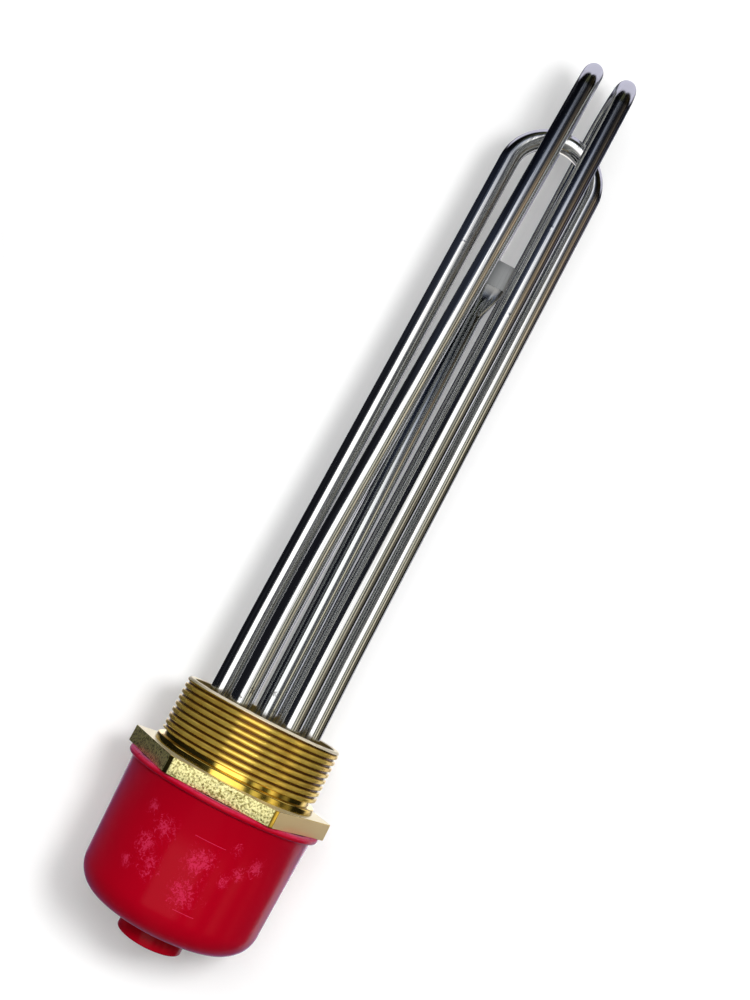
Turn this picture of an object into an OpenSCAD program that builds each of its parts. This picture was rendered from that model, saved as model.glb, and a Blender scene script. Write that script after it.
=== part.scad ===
// Screw plug immersion heater: a brass G2 screw plug that carries three hairpin heating elements and a
// pinched sensor pocket on its water side, and their terminals under a red screwed cap on its dry side.
// Lengths are in millimetres and angles in degrees. The origin is the centre of the sealing face of the
// hexagon, +Z runs along the thread axis to the tips of the elements, and the hexagon has corners on X.

/* [Screw plug] */
// Outside diameter of the parallel pipe thread
thread_d = 59.614; // [40:0.001:80]
// Pitch of the thread
thread_pitch = 2.309; // [1:0.001:4]
// Depth of the truncated thread form, with flanks at 27.5 degrees
thread_depth = 1; // [0.5:0.001:2.5]
// Width of the flat left on each crest
crest_land = 1; // [0.1:0.01:1.4]
// Width of the flat at each root
root_land = 0.27; // [0.1:0.01:0.8]
// Number of whole thread crests between the first and the last groove
thread_turns = 7; // [3:1:12]
// Height of the rim over the sealing face
rim_z = 23.2; // [12:0.1:40]
// Chamfer on the outside of the rim
rim_chamfer = 0.6; // [0.2:0.1:1.5]
// Height of the plain land between the rim chamfer and the first groove
rim_land = 0.1; // [0:0.05:1]
// Wall of the rim round the recess
rim_wall = 2.1; // [1:0.1:5]
// Depth of the recess that the element legs stand in
recess_depth = 3; // [0.5:0.1:8]
// Thickness of the web that the legs are brazed into
web_t = 8; // [4:0.5:12]
// Depth of the undercut between thread and collar, under the crests
neck_depth = 1.8; // [1.2:0.1:4]
// Reach of the collar past the crests of the thread
collar_reach = 0.643; // [0.1:0.001:2]
// Height of the collar
collar_h = 2.2; // [0.5:0.1:4]
// Rounding of the collar edge
collar_round = 0.8; // [0.2:0.1:2]
// Height of the top of the undercut over the sealing face
neck_top_z = 4.2; // [3:0.1:8]
// Distance across the flats of the hexagon
hex_af = 66.7; // [50:0.1:90]
// Distance across the turned-off corners of the hexagon
hex_corner_d = 76; // [55:0.1:100]
// Thickness of the hexagon
hex_t = 5.8; // [3:0.1:15]
// Chamfer at the corners of the hexagon
hex_chamfer = 0.5; // [0.1:0.1:2]
// Turn of the hexagon about the thread axis
hex_turn = -1.8; // [-30:0.1:30]
// Wall between the crests of the thread and the terminal chamber
chamber_wall = 4.8; // [3:0.1:8]
// Reach of the spigot that the cap screws onto, past the crests of the thread
spigot_reach = 1; // [0.5:0.1:3]
// Length of the spigot below the hexagon
spigot_h = 9; // [4:0.5:15]
// Chamfer at the end of the spigot
spigot_chamfer = 0.8; // [0.2:0.1:2]

/* [Heating elements] */
// Outside diameter of the element sheaths
sheath_d = 8; // [6:0.1:12]
// Wall of the sheaths
sheath_wall = 0.6; // [0.3:0.05:1.2]
// Distance from the circle that the legs stand on to the wall of the terminal chamber
legs_margin = 7.4; // [5:0.1:12]
// Offset of element A from its place on that circle, in X
offset_a = -0.53; // [-2:0.01:2]
// Offset of element B from its place on that circle, in X
offset_b = -0.2; // [-2:0.01:2]
// Height of the tips of elements A and B over the sealing face
tall_tip_z = 305.5; // [150:0.1:600]
// Height of the tip of element C over the sealing face
wide_tip_z = 275.7; // [120:0.1:500]
// Height of the open sheath ends in the terminal chamber
sheath_end_z = 6; // [2:0.1:10]
// Height at which the legs begin to lean
lean_start_z = 45; // [37:0.5:90]
// Radius of the gentle bend that gives the lean
lean_r = 1500; // [500:50:2500]
// Lean of element A towards +X
lean_a = 2; // [0.1:0.01:3]
// Lean of element B towards +X
lean_b = 0.96; // [0.1:0.01:3]
// Lean of element C towards +X
lean_c = 0.72; // [0.1:0.01:3]
// Turn of element A about its own centre line
yaw_a = 0; // [-6:0.1:6]
// Turn of element B about its own centre line
yaw_b = 3.2; // [-6:0.1:6]
// Outside diameter of the wound resistance coil
coil_d = 3.6; // [2:0.1:5]
// Diameter of the resistance wire
coil_wire_d = 0.5; // [0.2:0.05:1]
// Depth of the coil ends above the open sheath ends
coil_depth = 30; // [10:1:60]
// Radius of the bead at each change of curve, as a share of the tube radius
join_share = 1.004; // [1.001:0.001:1.02]
// Clearance of the legs in their holes, on the diameter
leg_clearance = 0.04; // [0:0.01:0.3]
// Reach of the braze fillet out from a leg
braze_reach = 0.9; // [0.3:0.1:2]
// Height of the braze fillet up a leg
braze_h = 1.1; // [0.3:0.1:3]

/* [Sensor pocket] */
// Outside diameter of the pocket tube
pocket_d = 8; // [5:0.1:12]
// Wall of the pocket tube
pocket_wall = 0.8; // [0.4:0.05:1.5]
// Height of the pinched end over the sealing face
pocket_tip_z = 215; // [80:0.5:400]
// Length of the pinched flat
pinch_h = 10.5; // [4:0.5:20]
// Width of the pinched flat
pinch_w = 12.4; // [8:0.1:20]
// Thickness of the pinched flat
pinch_t = 1.7; // [1:0.1:3]
// Offset of the pinched flat from the tube axis
pinch_shift = 0.5; // [-2:0.1:2]
// Length of the part between round and flat
pinch_run = 15.5; // [8:0.5:30]
// Height of the open end of the pocket in the terminal chamber
pocket_end_z = 4; // [0:0.5:10]

/* [Terminals] */
// Diameter of the terminal pins
pin_d = 4; // [3:0.1:6]
// Diameter of the pins inside the coils
pin_tail_d = 2.6; // [1:0.1:3]
// Height of the outer ends of the pins
pin_end_z = -13; // [-25:0.5:-8]
// Chamfer at the outer ends of the pins
pin_chamfer = 0.5; // [0.1:0.1:1]
// Length of a pin tail that sits in the coil
pin_grip = 12; // [4:1:25]
// Diameter of the bead collars
bead_d = 7.9; // [6:0.1:12]
// Height of the bead collars
bead_h = 3; // [1:0.1:6]
// Length of a bead inside its sheath
bead_in = 4; // [2:0.5:10]
// Distance across the flats of the terminal nuts
nut_af = 7; // [5.5:0.1:10]
// Thickness of the terminal nuts
nut_h = 3.2; // [2:0.1:5]
// Diameter of the terminal washers
washer_d = 9; // [7:0.1:12]
// Thickness of the terminal washers
washer_t = 0.8; // [0.4:0.1:1.6]
// Width of the star link
link_w = 8; // [6:0.1:12]
// Thickness of the star link
link_t = 1; // [0.6:0.1:2]
// Clearance of washers and link round the pins, on the diameter
pin_clearance = 0.3; // [0.1:0.05:0.8]
// Diameter of the earth screw
earth_d = 5; // [4:0.1:6]
// Diameter of the earth screw head
earth_head_d = 8.4; // [6:0.1:12]
// Height of the earth screw head
earth_head_h = 3.3; // [2:0.1:5]
// Length of the earth screw in the web
earth_depth = 5.5; // [3:0.5:7]
// Distance of the earth screw from the wall of the terminal chamber
earth_margin = 6.4; // [5:0.1:12]
// Width of the driver slot
slot_w = 1.2; // [0.6:0.1:2]
// Depth of the driver slot
slot_depth = 1.4; // [0.6:0.1:2]

/* [Cap] */
// Reach of the cap lip past the wall under it
lip_reach = 2; // [0.5:0.1:5]
// Height of the cap lip
lip_h = 1.9; // [1:0.1:5]
// Wall of the cap round the spigot, just under the lip
cap_top_wall = 3.25; // [2:0.05:6]
// Narrowing of the cap from the lip to its lower rounding, on the radius
cap_taper = 1.7; // [0:0.1:4]
// Height of the cap from the hexagon to its flat end
cap_h = 46.9; // [30:0.1:70]
// Outer rounding between wall and end
cap_round = 10; // [4:0.5:18]
// Rounding of the lip edges
lip_round = 0.7; // [0.2:0.1:1]
// Wall of the cap
cap_wall = 2.4; // [1.5:0.1:4]
// Clearance between the spigot and the threaded part of the cap, on the diameter
cap_clearance = 0.5; // [0.2:0.05:1]
// Diameter of the cable boss
boss_d = 23.8; // [16:0.1:32]
// Height of the cable boss
boss_h = 7.6; // [3:0.1:12]
// Rounding of the boss edge
boss_round = 0.8; // [0.3:0.1:2]
// Diameter of the opening in the boss
inlet_d = 15; // [8:0.1:20]
// Wall of the cable grommet
grommet_wall = 2.2; // [1:0.1:4]
// Height of each grommet flange
grommet_flange_h = 0.7; // [0.4:0.1:3]
// Reach of each grommet flange past the opening
grommet_reach = 1.6; // [0.8:0.1:3]
// Clearance between the spigot and the cap gasket, on the diameter
gasket_clearance = 1; // [0.2:0.05:2]
// Width of the cap gasket from its inner to its outer edge
gasket_w = 2.4; // [1:0.1:4]
// Thickness of the cap gasket
gasket_t = 1.5; // [0.8:0.1:3]

/* [Hidden] */
$fn = 96;
thread_r = thread_d / 2;
root_r = thread_r - thread_depth;
neck_r = thread_r - neck_depth;
collar_r = thread_r + collar_reach;
recess_r = thread_r - rim_chamfer / 3 - rim_wall;
recess_z = rim_z - recess_depth;
web_z = recess_z - web_t;
spigot_r = thread_r + spigot_reach;
spigot_z = -hex_t - spigot_h;
chamber_r = thread_r - chamber_wall;
first_root_z = rim_z - rim_chamfer - rim_land;

sheath_r = sheath_d / 2;
core_r = sheath_r - sheath_wall;
legs_r = chamber_r - legs_margin;
earth_at = chamber_r - earth_margin;
half_span = legs_r * sin(60);
side_x = legs_r * cos(60);
coil_r = coil_d / 2;
coil_bore_r = coil_r - coil_wire_d;
coil_z = sheath_end_z + coil_depth;
pocket_r = pocket_d / 2;
pin_r = pin_d / 2;
tail_r = pin_tail_d / 2;
bead_top_z = sheath_end_z + bead_in;
bead_z = sheath_end_z - bead_h;
lock_z = bead_z - nut_h;
washer_z = lock_z - washer_t;
link_z = washer_z - link_t;

cap_z = -hex_t;
cap_end_z = cap_z - cap_h;
bore_r = spigot_r + cap_clearance / 2;
cap_top_r = bore_r + cap_top_wall;
cap_low_r = cap_top_r - cap_taper;
lip_r = cap_top_r + lip_reach;
boss_r = boss_d / 2;
boss_z = cap_end_z - boss_h;
gasket_z = cap_z - gasket_t;
gasket_in_r = spigot_r + gasket_clearance / 2;
gasket_out_r = gasket_in_r + gasket_w;
inner_low_r = cap_low_r - cap_wall;
inner_round = cap_round - cap_wall;
inner_end_z = cap_end_z + cap_wall;
inlet_r = inlet_d / 2;
braze_share = [[0, 0], [1, 0], [0.5, 0.18], [0.18, 0.5], [0, 1]];

// Element data: offset of the middle in X, leaning direction, yaw, lean, half span, tip height
function mid_x(i) = [offset_a - side_x, side_x + offset_b, 0][i];
function yaw(i) = [yaw_a, yaw_b, 0][i];
function lean(i) = [lean_a, lean_b, lean_c][i];
function half(i) = [half_span, half_span, legs_r][i];
function tip(i) = [tall_tip_z, tall_tip_z, wide_tip_z][i];
// Foot of leg s (-1 is the front or left leg, +1 the back or right one) of element i
function foot(i, s) = i == 2 ? [s * legs_r, 0] :
    [mid_x(i) - s * half(i) * sin(yaw(i)), s * half(i) * cos(yaw(i))];
// The six legs in order round the circle: C right, B back, A back, C left, A front, B front
function leg(k) = [foot(2, 1), foot(1, 1), foot(0, 1), foot(2, -1), foot(0, -1), foot(1, -1)][k];
// Rise of an element above the start of its lean, to the middle of its bend
function straight(i) = (tip(i) - sheath_r - half(i) - lean_start_z - lean_r * sin(lean(i))) / cos(lean(i));
function quarter(r, a0, a1, n) = [for (j = [0:n]) let (a = a0 + (a1 - a0) * j / n) [r * cos(a), r * sin(a)]];
function moved(pts, d) = [for (q = pts) q + d];

// Screw plug: thread, rim, undercut, collar, hexagon and spigot, turned and milled from one forging
function thread_points() = let (flank = (thread_pitch - crest_land - root_land) / 2)
    [for (k = [0:thread_turns], e = [0:3])
        let (z = first_root_z - thread_pitch * k)
        [e == 0 || e == 3 ? thread_r : root_r,
         z - [0, flank, flank + root_land, 2 * flank + root_land][e]]];

module plug_profile() {
    polygon(concat(
        [[0, rim_z], [thread_r - rim_chamfer, rim_z], [thread_r, rim_z - rim_chamfer]],
        thread_points(),
        [[thread_r, neck_top_z], [neck_r, neck_top_z - neck_depth / 4],
         [neck_r, collar_h]],
        moved(quarter(collar_round, 90, 0, 6), [collar_r - collar_round, collar_h - collar_round]),
        [[collar_r, 0], [0, 0]]));
}

module hexagon() {
    intersection() {
        rotate([0, 0, hex_turn]) translate([0, 0, -hex_t])
            cylinder(h = hex_t, d = hex_af / cos(30), $fn = 6);
        rotate_extrude() polygon([[0, 0], [hex_corner_d / 2 - hex_chamfer, 0],
            [hex_corner_d / 2, -hex_chamfer / 2], [hex_corner_d / 2, -hex_t + hex_chamfer / 2],
            [hex_corner_d / 2 - hex_chamfer, -hex_t], [0, -hex_t]]);
    }
}

module screw_plug() color("goldenrod") difference() {
    union() {
        rotate_extrude() plug_profile();
        hexagon();
        rotate_extrude() polygon([[0, 0], [0, spigot_z], [spigot_r - spigot_chamfer, spigot_z],
            [spigot_r, spigot_z + spigot_chamfer], [spigot_r, 0]]);
    }
    // recess on the water side
    translate([0, 0, recess_z]) cylinder(h = rim_z, r = recess_r);
    // terminal chamber on the dry side
    translate([0, 0, spigot_z * 2]) cylinder(h = web_z - spigot_z * 2, r = chamber_r);
    // holes of the legs and the pocket
    for (k = [0:5]) translate([leg(k)[0], leg(k)[1], 0])
        cylinder(h = rim_z, d = sheath_d + leg_clearance);
    cylinder(h = rim_z, d = pocket_d + leg_clearance);
    // tapped hole of the earth screw
    translate([0, -earth_at, 0]) cylinder(h = web_z + earth_depth, d = earth_d);
}

// Path of a hairpin element, as a solid of radius r that starts at height z. Each change of curve is
// covered by a slight bead, as a mandrel leaves it.
module hairpin(i, r, z) translate([mid_x(i), 0, 0]) rotate([0, 0, yaw(i)]) {
    in_line = i == 2;
    for (s = [-1, 1]) {
        f = in_line ? [s * half(i), 0] : [0, s * half(i)];
        translate([f[0], f[1], z]) cylinder(h = lean_start_z - z, r = r);
        translate([f[0], f[1], lean_start_z]) sphere(r = r * join_share);
        // gentle bend towards +X about a line along Y at the distance lean_r
        translate([lean_r, f[1], lean_start_z]) rotate([90, 0, 0])
            rotate_extrude(start = 180 - lean(i), angle = lean(i)) translate([lean_r - f[0], 0]) circle(r = r);
        leaned(i) translate([f[0], f[1], 0]) {
            sphere(r = r * join_share);
            cylinder(h = straight(i), r = r);
            translate([0, 0, straight(i)]) sphere(r = r * join_share);
        }
    }
    leaned(i) translate([0, 0, straight(i)]) rotate([90, 0, in_line ? 0 : 90])
        rotate_extrude(start = 0, angle = 180) translate([half(i), 0]) circle(r = r);
}

module leaned(i) translate([lean_r - lean_r * cos(lean(i)), 0, lean_start_z + lean_r * sin(lean(i))])
    rotate([0, lean(i), 0]) children();

module sheath(i) color("silver") difference() {
    hairpin(i, sheath_r, sheath_end_z);
    hairpin(i, core_r, sheath_end_z - sheath_r);
}

module magnesia(i) color("white") difference() {
    hairpin(i, core_r, bead_top_z);
    hairpin(i, coil_r, coil_z);
    for (s = [-1, 1]) translate([foot(i, s)[0], foot(i, s)[1], 0]) cylinder(h = coil_z, r = tail_r);
}

module coil(i) color("dimgray") difference() {
    hairpin(i, coil_r, coil_z);
    hairpin(i, coil_bore_r, coil_z - coil_r);
}

module sensor_pocket() color("silver") difference() {
    run_z = pocket_tip_z - pinch_h - pinch_run;
    union() {
        translate([0, 0, pocket_end_z]) cylinder(h = run_z - pocket_end_z, r = pocket_r);
        hull() {
            translate([0, 0, run_z]) cylinder(h = pinch_t / 10, r = pocket_r);
            translate([pinch_shift, 0, pocket_tip_z - pinch_h]) pinched(pinch_t / 10);
        }
        translate([pinch_shift, 0, pocket_tip_z - pinch_h]) pinched(pinch_h);
    }
    translate([0, 0, pocket_end_z - pocket_r])
        cylinder(h = run_z - pocket_end_z + pocket_r, r = pocket_r - pocket_wall);
    translate([0, 0, run_z]) cylinder(h = pinch_run / 2, r1 = pocket_r - pocket_wall, r2 = 0);
}

module pinched(h) linear_extrude(h) {
    square([pinch_w - pinch_t, pinch_t], center = true);
    for (s = [-1, 1]) translate([s * (pinch_w - pinch_t) / 2, 0]) circle(d = pinch_t, $fn = 24);
}

module braze_ring(r) rotate_extrude()
    polygon([for (q = braze_share) [r + q[0] * braze_reach, q[1] * braze_h]]);

module braze_rings() color("darkkhaki") translate([0, 0, recess_z]) {
    for (k = [0:5]) translate([leg(k)[0], leg(k)[1], 0]) braze_ring(sheath_r);
    braze_ring(pocket_r);
}

// Terminals: each pin passes a bead and carries a lock nut, a washer and a clamp nut
module at_leg(k) translate([leg(k)[0], leg(k)[1], 0]) children();

module pin(k) color("lightgray") at_leg(k) rotate_extrude() polygon([
    [0, coil_z + pin_grip], [tail_r, coil_z + pin_grip], [tail_r, bead_top_z], [pin_r, bead_top_z],
    [pin_r, pin_end_z + pin_chamfer], [pin_r - pin_chamfer, pin_end_z], [0, pin_end_z]]);

module bead(k) color("ivory") at_leg(k) rotate_extrude() polygon([
    [pin_r, bead_top_z], [core_r, bead_top_z], [core_r, sheath_end_z], [bead_d / 2, sheath_end_z],
    [bead_d / 2, bead_z + pin_chamfer], [bead_d / 2 - pin_chamfer, bead_z], [pin_r, bead_z]]);

module nut(k, z) at_leg(k) translate([0, 0, z]) intersection() {
    difference() {
        cylinder(h = nut_h, d = nut_af / cos(30), $fn = 6);
        cylinder(h = nut_h * 3, r = pin_r, center = true);
    }
    rotate_extrude() polygon([[0, 0], [nut_af / 2, 0], [nut_af / cos(30) / 2, nut_h / 8],
        [nut_af / cos(30) / 2, nut_h * 7 / 8], [nut_af / 2, nut_h], [0, nut_h]]);
}

module lock_nut(k) color("khaki") nut(k, lock_z);
module clamp_nut(k) color("khaki") nut(k, (k < 3 ? link_z : washer_z) - nut_h);

module washer(k) color("gainsboro") at_leg(k) translate([0, 0, washer_z]) difference() {
    cylinder(h = washer_t, d = washer_d);
    cylinder(h = washer_t * 3, d = pin_d + pin_clearance, center = true);
}

module star_link() color("gold") translate([0, 0, link_z]) difference() {
    union() {
        rotate_extrude(start = 0, angle = 120)
            translate([legs_r - link_w / 2, 0]) square([link_w, link_t]);
        for (k = [0:2]) at_leg(k) cylinder(h = link_t, d = link_w);
    }
    for (k = [0:2]) at_leg(k) cylinder(h = link_t * 3, d = pin_d + pin_clearance, center = true);
}

module earth_screw() color("goldenrod") translate([0, -earth_at, 0]) difference() {
    rotate_extrude() polygon([[0, web_z + earth_depth], [earth_d / 2, web_z + earth_depth],
        [earth_d / 2, web_z - washer_t], [earth_head_d / 2, web_z - washer_t],
        [earth_head_d / 2, web_z - washer_t - earth_head_h + pin_chamfer],
        [earth_head_d / 2 - pin_chamfer, web_z - washer_t - earth_head_h],
        [0, web_z - washer_t - earth_head_h]]);
    translate([-earth_head_d, -slot_w / 2, web_z - washer_t - earth_head_h - slot_depth])
        cube([earth_head_d * 2, slot_w, slot_depth * 2]);
}

module earth_washer() color("gainsboro") translate([0, -earth_at, web_z - washer_t]) difference() {
    cylinder(h = washer_t, d = washer_d + pin_clearance);
    cylinder(h = washer_t * 3, d = earth_d + pin_clearance, center = true);
}

// Cap: a moulded cup with a lip under the hexagon and a cable boss in the middle of its end
module cap_gasket() color("dimgray") translate([0, 0, gasket_z]) difference() {
    cylinder(h = gasket_t, r = gasket_out_r);
    cylinder(h = gasket_t * 3, r = gasket_in_r, center = true);
}

module cap_outline() polygon(concat(
    [[0, cap_z]],
    moved(quarter(lip_round, 90, 0, 4), [lip_r - lip_round, cap_z - lip_round]),
    moved(quarter(lip_round, 0, -90, 4), [lip_r - lip_round, cap_z - lip_h + lip_round]),
    [[cap_top_r, cap_z - lip_h]],
    moved(quarter(cap_round, 0, -90, 14), [cap_low_r - cap_round, cap_end_z + cap_round]),
    [[boss_r, cap_end_z]],
    moved(quarter(boss_round, 0, -90, 5), [boss_r - boss_round, boss_z + boss_round]),
    [[0, boss_z]]));

module cap_inside() polygon(concat(
    [[0, hex_t], [gasket_out_r, hex_t], [gasket_out_r, gasket_z], [bore_r, gasket_z],
     [bore_r, spigot_z - cap_wall]],
    moved(quarter(inner_round, 0, -90, 10), [inner_low_r - inner_round, inner_end_z + inner_round]),
    [[inlet_r, inner_end_z], [inlet_r, boss_z - boss_h], [0, boss_z - boss_h]]));

module terminal_cap() color("crimson") rotate_extrude() difference() {
    cap_outline();
    cap_inside();
}

module cable_grommet() color("darkslategray") rotate_extrude() polygon([
    [inlet_r - grommet_wall, inner_end_z + grommet_flange_h],
    [inlet_r + grommet_reach - grommet_flange_h / 2, inner_end_z + grommet_flange_h],
    [inlet_r + grommet_reach, inner_end_z + grommet_flange_h / 2], [inlet_r + grommet_reach, inner_end_z],
    [inlet_r, inner_end_z], [inlet_r, boss_z], [inlet_r + grommet_reach, boss_z],
    [inlet_r + grommet_reach, boss_z - grommet_flange_h / 2],
    [inlet_r + grommet_reach - grommet_flange_h / 2, boss_z - grommet_flange_h],
    [inlet_r - grommet_wall, boss_z - grommet_flange_h]]);

screw_plug();
sheath(0);  // sheath_a
sheath(1);  // sheath_b
sheath(2);  // sheath_c
magnesia(0);  // magnesia_a
magnesia(1);  // magnesia_b
magnesia(2);  // magnesia_c
coil(0);  // coil_a
coil(1);  // coil_b
coil(2);  // coil_c
sensor_pocket();
braze_rings();
pin(0);  // pin_1
pin(1);  // pin_2
pin(2);  // pin_3
pin(3);  // pin_4
pin(4);  // pin_5
pin(5);  // pin_6
bead(0);  // bead_1
bead(1);  // bead_2
bead(2);  // bead_3
bead(3);  // bead_4
bead(4);  // bead_5
bead(5);  // bead_6
lock_nut(0);  // lock_nut_1
lock_nut(1);  // lock_nut_2
lock_nut(2);  // lock_nut_3
lock_nut(3);  // lock_nut_4
lock_nut(4);  // lock_nut_5
lock_nut(5);  // lock_nut_6
washer(0);  // washer_1
washer(1);  // washer_2
washer(2);  // washer_3
washer(3);  // washer_4
washer(4);  // washer_5
washer(5);  // washer_6
clamp_nut(0);  // clamp_nut_1
clamp_nut(1);  // clamp_nut_2
clamp_nut(2);  // clamp_nut_3
clamp_nut(3);  // clamp_nut_4
clamp_nut(4);  // clamp_nut_5
clamp_nut(5);  // clamp_nut_6
star_link();
earth_screw();
earth_washer();
cap_gasket();
terminal_cap();
cable_grommet();
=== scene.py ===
"""Looks of a screw plug immersion heater: polished element tubes, a turned and forged brass plug and a moulded cap."""

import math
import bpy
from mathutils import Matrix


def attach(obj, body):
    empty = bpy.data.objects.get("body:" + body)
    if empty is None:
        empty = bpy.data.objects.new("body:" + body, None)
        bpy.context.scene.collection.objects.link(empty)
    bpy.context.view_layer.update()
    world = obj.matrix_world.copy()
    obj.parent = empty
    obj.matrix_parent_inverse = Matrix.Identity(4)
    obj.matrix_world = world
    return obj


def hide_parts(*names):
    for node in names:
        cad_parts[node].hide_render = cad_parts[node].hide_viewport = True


bl_info = {
    "name": "Screw plug immersion heater",
    "version": (1, 0, 0),
    "blender": (4, 5, 0),
    "location": "View3D > Sidebar > Heater",
    "description": "Builds the heater's tubes, plug, pocket and cap round its packed solids",
    "category": "Object",
}

import bpy
from mathutils import Matrix, Vector

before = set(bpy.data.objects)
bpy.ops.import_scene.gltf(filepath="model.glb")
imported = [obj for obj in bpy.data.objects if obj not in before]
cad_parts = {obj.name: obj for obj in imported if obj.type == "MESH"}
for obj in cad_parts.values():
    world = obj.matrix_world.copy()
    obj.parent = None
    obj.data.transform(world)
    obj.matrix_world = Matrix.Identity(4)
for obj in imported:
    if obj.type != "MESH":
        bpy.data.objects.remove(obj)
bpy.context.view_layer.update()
MM = 0.001


# ---------------------------------------------------------------- settings


class PlugSettings(bpy.types.PropertyGroup):
    """Sizes and colours of the brass plug."""

    thread_diameter: bpy.props.FloatProperty(
        name="Thread diameter", description="Over the crests of the pipe thread", default=59.614 * MM, unit="LENGTH")
    pitch: bpy.props.FloatProperty(
        name="Pitch", description="Rise of the thread in one turn", default=2.309 * MM, unit="LENGTH")
    rim_height: bpy.props.FloatProperty(
        name="Rim height", description="Rim over the sealing face", default=23.2 * MM, unit="LENGTH")
    across_flats: bpy.props.FloatProperty(
        name="Across flats", description="Size of the hexagon", default=66.7 * MM, unit="LENGTH")
    brass: bpy.props.StringProperty(
        name="Turned brass", description="sRGB hex of the turned faces", default="ffdc66")
    cast: bpy.props.StringProperty(
        name="Forged brass", description="sRGB hex of the hexagon's forged skin", default="f8efac")


class ElementSettings(bpy.types.PropertyGroup):
    """Sizes and colours of the three hairpin elements and the pocket."""

    diameter: bpy.props.FloatProperty(
        name="Tube diameter", description="Outside diameter of the element tubes", default=8 * MM, unit="LENGTH")
    lean_start: bpy.props.FloatProperty(
        name="Lean start", description="Height at which the legs begin to lean", default=45 * MM, unit="LENGTH")
    lean_radius: bpy.props.FloatProperty(
        name="Lean radius", description="Radius of the gentle bend of the legs", default=1.5, unit="LENGTH")
    steel: bpy.props.StringProperty(
        name="Stainless steel", description="sRGB hex of the polished tube", default="ebeae8")


class CapSettings(bpy.types.PropertyGroup):
    """Sizes and colours of the terminal cap."""

    lip_diameter: bpy.props.FloatProperty(
        name="Lip diameter", description="Over the lip under the hexagon", default=72.6 * MM, unit="LENGTH")
    red: bpy.props.StringProperty(
        name="Cap red", description="sRGB hex of the moulded cap", default="b0001a")
    scuff: bpy.props.StringProperty(
        name="Scuffs", description="sRGB hex of the rubbed places", default="e03460")


class StageSettings(bpy.types.PropertyGroup):
    """The table behind the heater, its lamps and the camera."""

    table_distance: bpy.props.FloatProperty(
        name="Table distance", description="From the thread axis to the table", default=39.5 * MM, unit="LENGTH")
    lamp_power: bpy.props.FloatProperty(
        name="Window power", description="Power of the large front lamp, in watts", default=3.0)
    key_power: bpy.props.FloatProperty(
        name="Key power", description="Power of the lamp that casts the shadow, in watts", default=23.0)
    fill_power: bpy.props.FloatProperty(
        name="Fill power", description="Power of the broad lamp at the lens, in watts", default=9.0)


# ---------------------------------------------------------------- shared helpers


def linear(hexa):
    """sRGB hex to a linear RGBA colour."""
    out = []
    for i in (0, 2, 4):
        c = int(hexa[i:i + 2], 16) / 255
        out.append(c / 12.92 if c <= 0.04045 else ((c + 0.055) / 1.055) ** 2.4)
    return (*out, 1.0)


def add_node(tree, kind, links=None, **settings):
    """Adds a node, sets its settings and inputs, and links its inputs."""
    node = tree.nodes.new(kind)
    for key, value in settings.items():
        if hasattr(node, key):
            setattr(node, key, value)
        else:
            node.inputs[key.replace("_", " ")].default_value = value
    for key, source in (links or {}).items():
        tree.links.new(source, node.inputs[key])
    return node


def new_material(name, base, metallic, roughness, **sockets):
    """An empty principled material and its tree, shader and object coordinates."""
    mat = bpy.data.materials.new(name)
    mat.use_nodes = True
    tree = mat.node_tree
    shader = tree.nodes["Principled BSDF"]
    shader.inputs["Base Color"].default_value = linear(base)
    shader.inputs["Metallic"].default_value = metallic
    shader.inputs["Roughness"].default_value = roughness
    for key, value in sockets.items():
        shader.inputs[key.replace("_", " ")].default_value = value
    place = tree.nodes.new("ShaderNodeTexCoord").outputs["Object"]
    return mat, tree, shader, place


def clear_selection():
    """Back to object mode with nothing selected."""
    if bpy.context.object and bpy.context.object.mode != "OBJECT":
        bpy.ops.object.mode_set(mode="OBJECT")
    bpy.ops.object.select_all(action="DESELECT")


def edit_all():
    """Edit mode with the whole mesh selected."""
    bpy.ops.object.mode_set(mode="EDIT")
    bpy.ops.mesh.select_all(action="SELECT")


def extrude(dx, dy, dz):
    bpy.ops.mesh.extrude_region_move(TRANSFORM_OT_translate={"value": (dx, dy, dz)})


def start_profile(r, z):
    """A single point at radius r and height z, ready to be drawn on from."""
    clear_selection()
    bpy.ops.mesh.primitive_plane_add(size=MM)
    edit_all()
    bpy.ops.mesh.merge(type="CENTER")
    bpy.ops.transform.translate(value=(r, 0, z))
    return bpy.context.object


def draw_profile(points):
    """Draws an outline point by point in the XZ plane, as (radius, height)."""
    obj = start_profile(*points[0])
    for (r0, z0), (r1, z1) in zip(points, points[1:]):
        extrude(r1 - r0, 0, z1 - z0)
    return obj


def arc(cr, cz, radius, a0, a1, steps):
    """Points of a rounding about (cr, cz), from angle a0 to a1 in degrees."""
    return [(cr + radius * math.cos(math.radians(a0 + (a1 - a0) * k / steps)),
             cz + radius * math.sin(math.radians(a0 + (a1 - a0) * k / steps))) for k in range(steps + 1)]


def turn_profile(points, steps=160):
    """Turns an outline once round Z, as on a lathe, and closes its seam."""
    obj = draw_profile(points)
    bpy.ops.mesh.select_all(action="SELECT")
    bpy.ops.mesh.spin(steps=steps, angle=math.tau, center=(0, 0, 0), axis=(0, 0, 1), use_auto_merge=True)
    bpy.ops.mesh.select_all(action="SELECT")
    bpy.ops.mesh.remove_doubles(threshold=1e-6)
    bpy.ops.mesh.normals_make_consistent(inside=False)
    bpy.ops.object.mode_set(mode="OBJECT")
    return obj


def smooth(obj, degrees=32):
    """Smooth shading that keeps edges sharper than the angle."""
    clear_selection()
    obj.select_set(True)
    bpy.context.view_layer.objects.active = obj
    bpy.ops.object.shade_smooth_by_angle(angle=math.radians(degrees))


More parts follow.
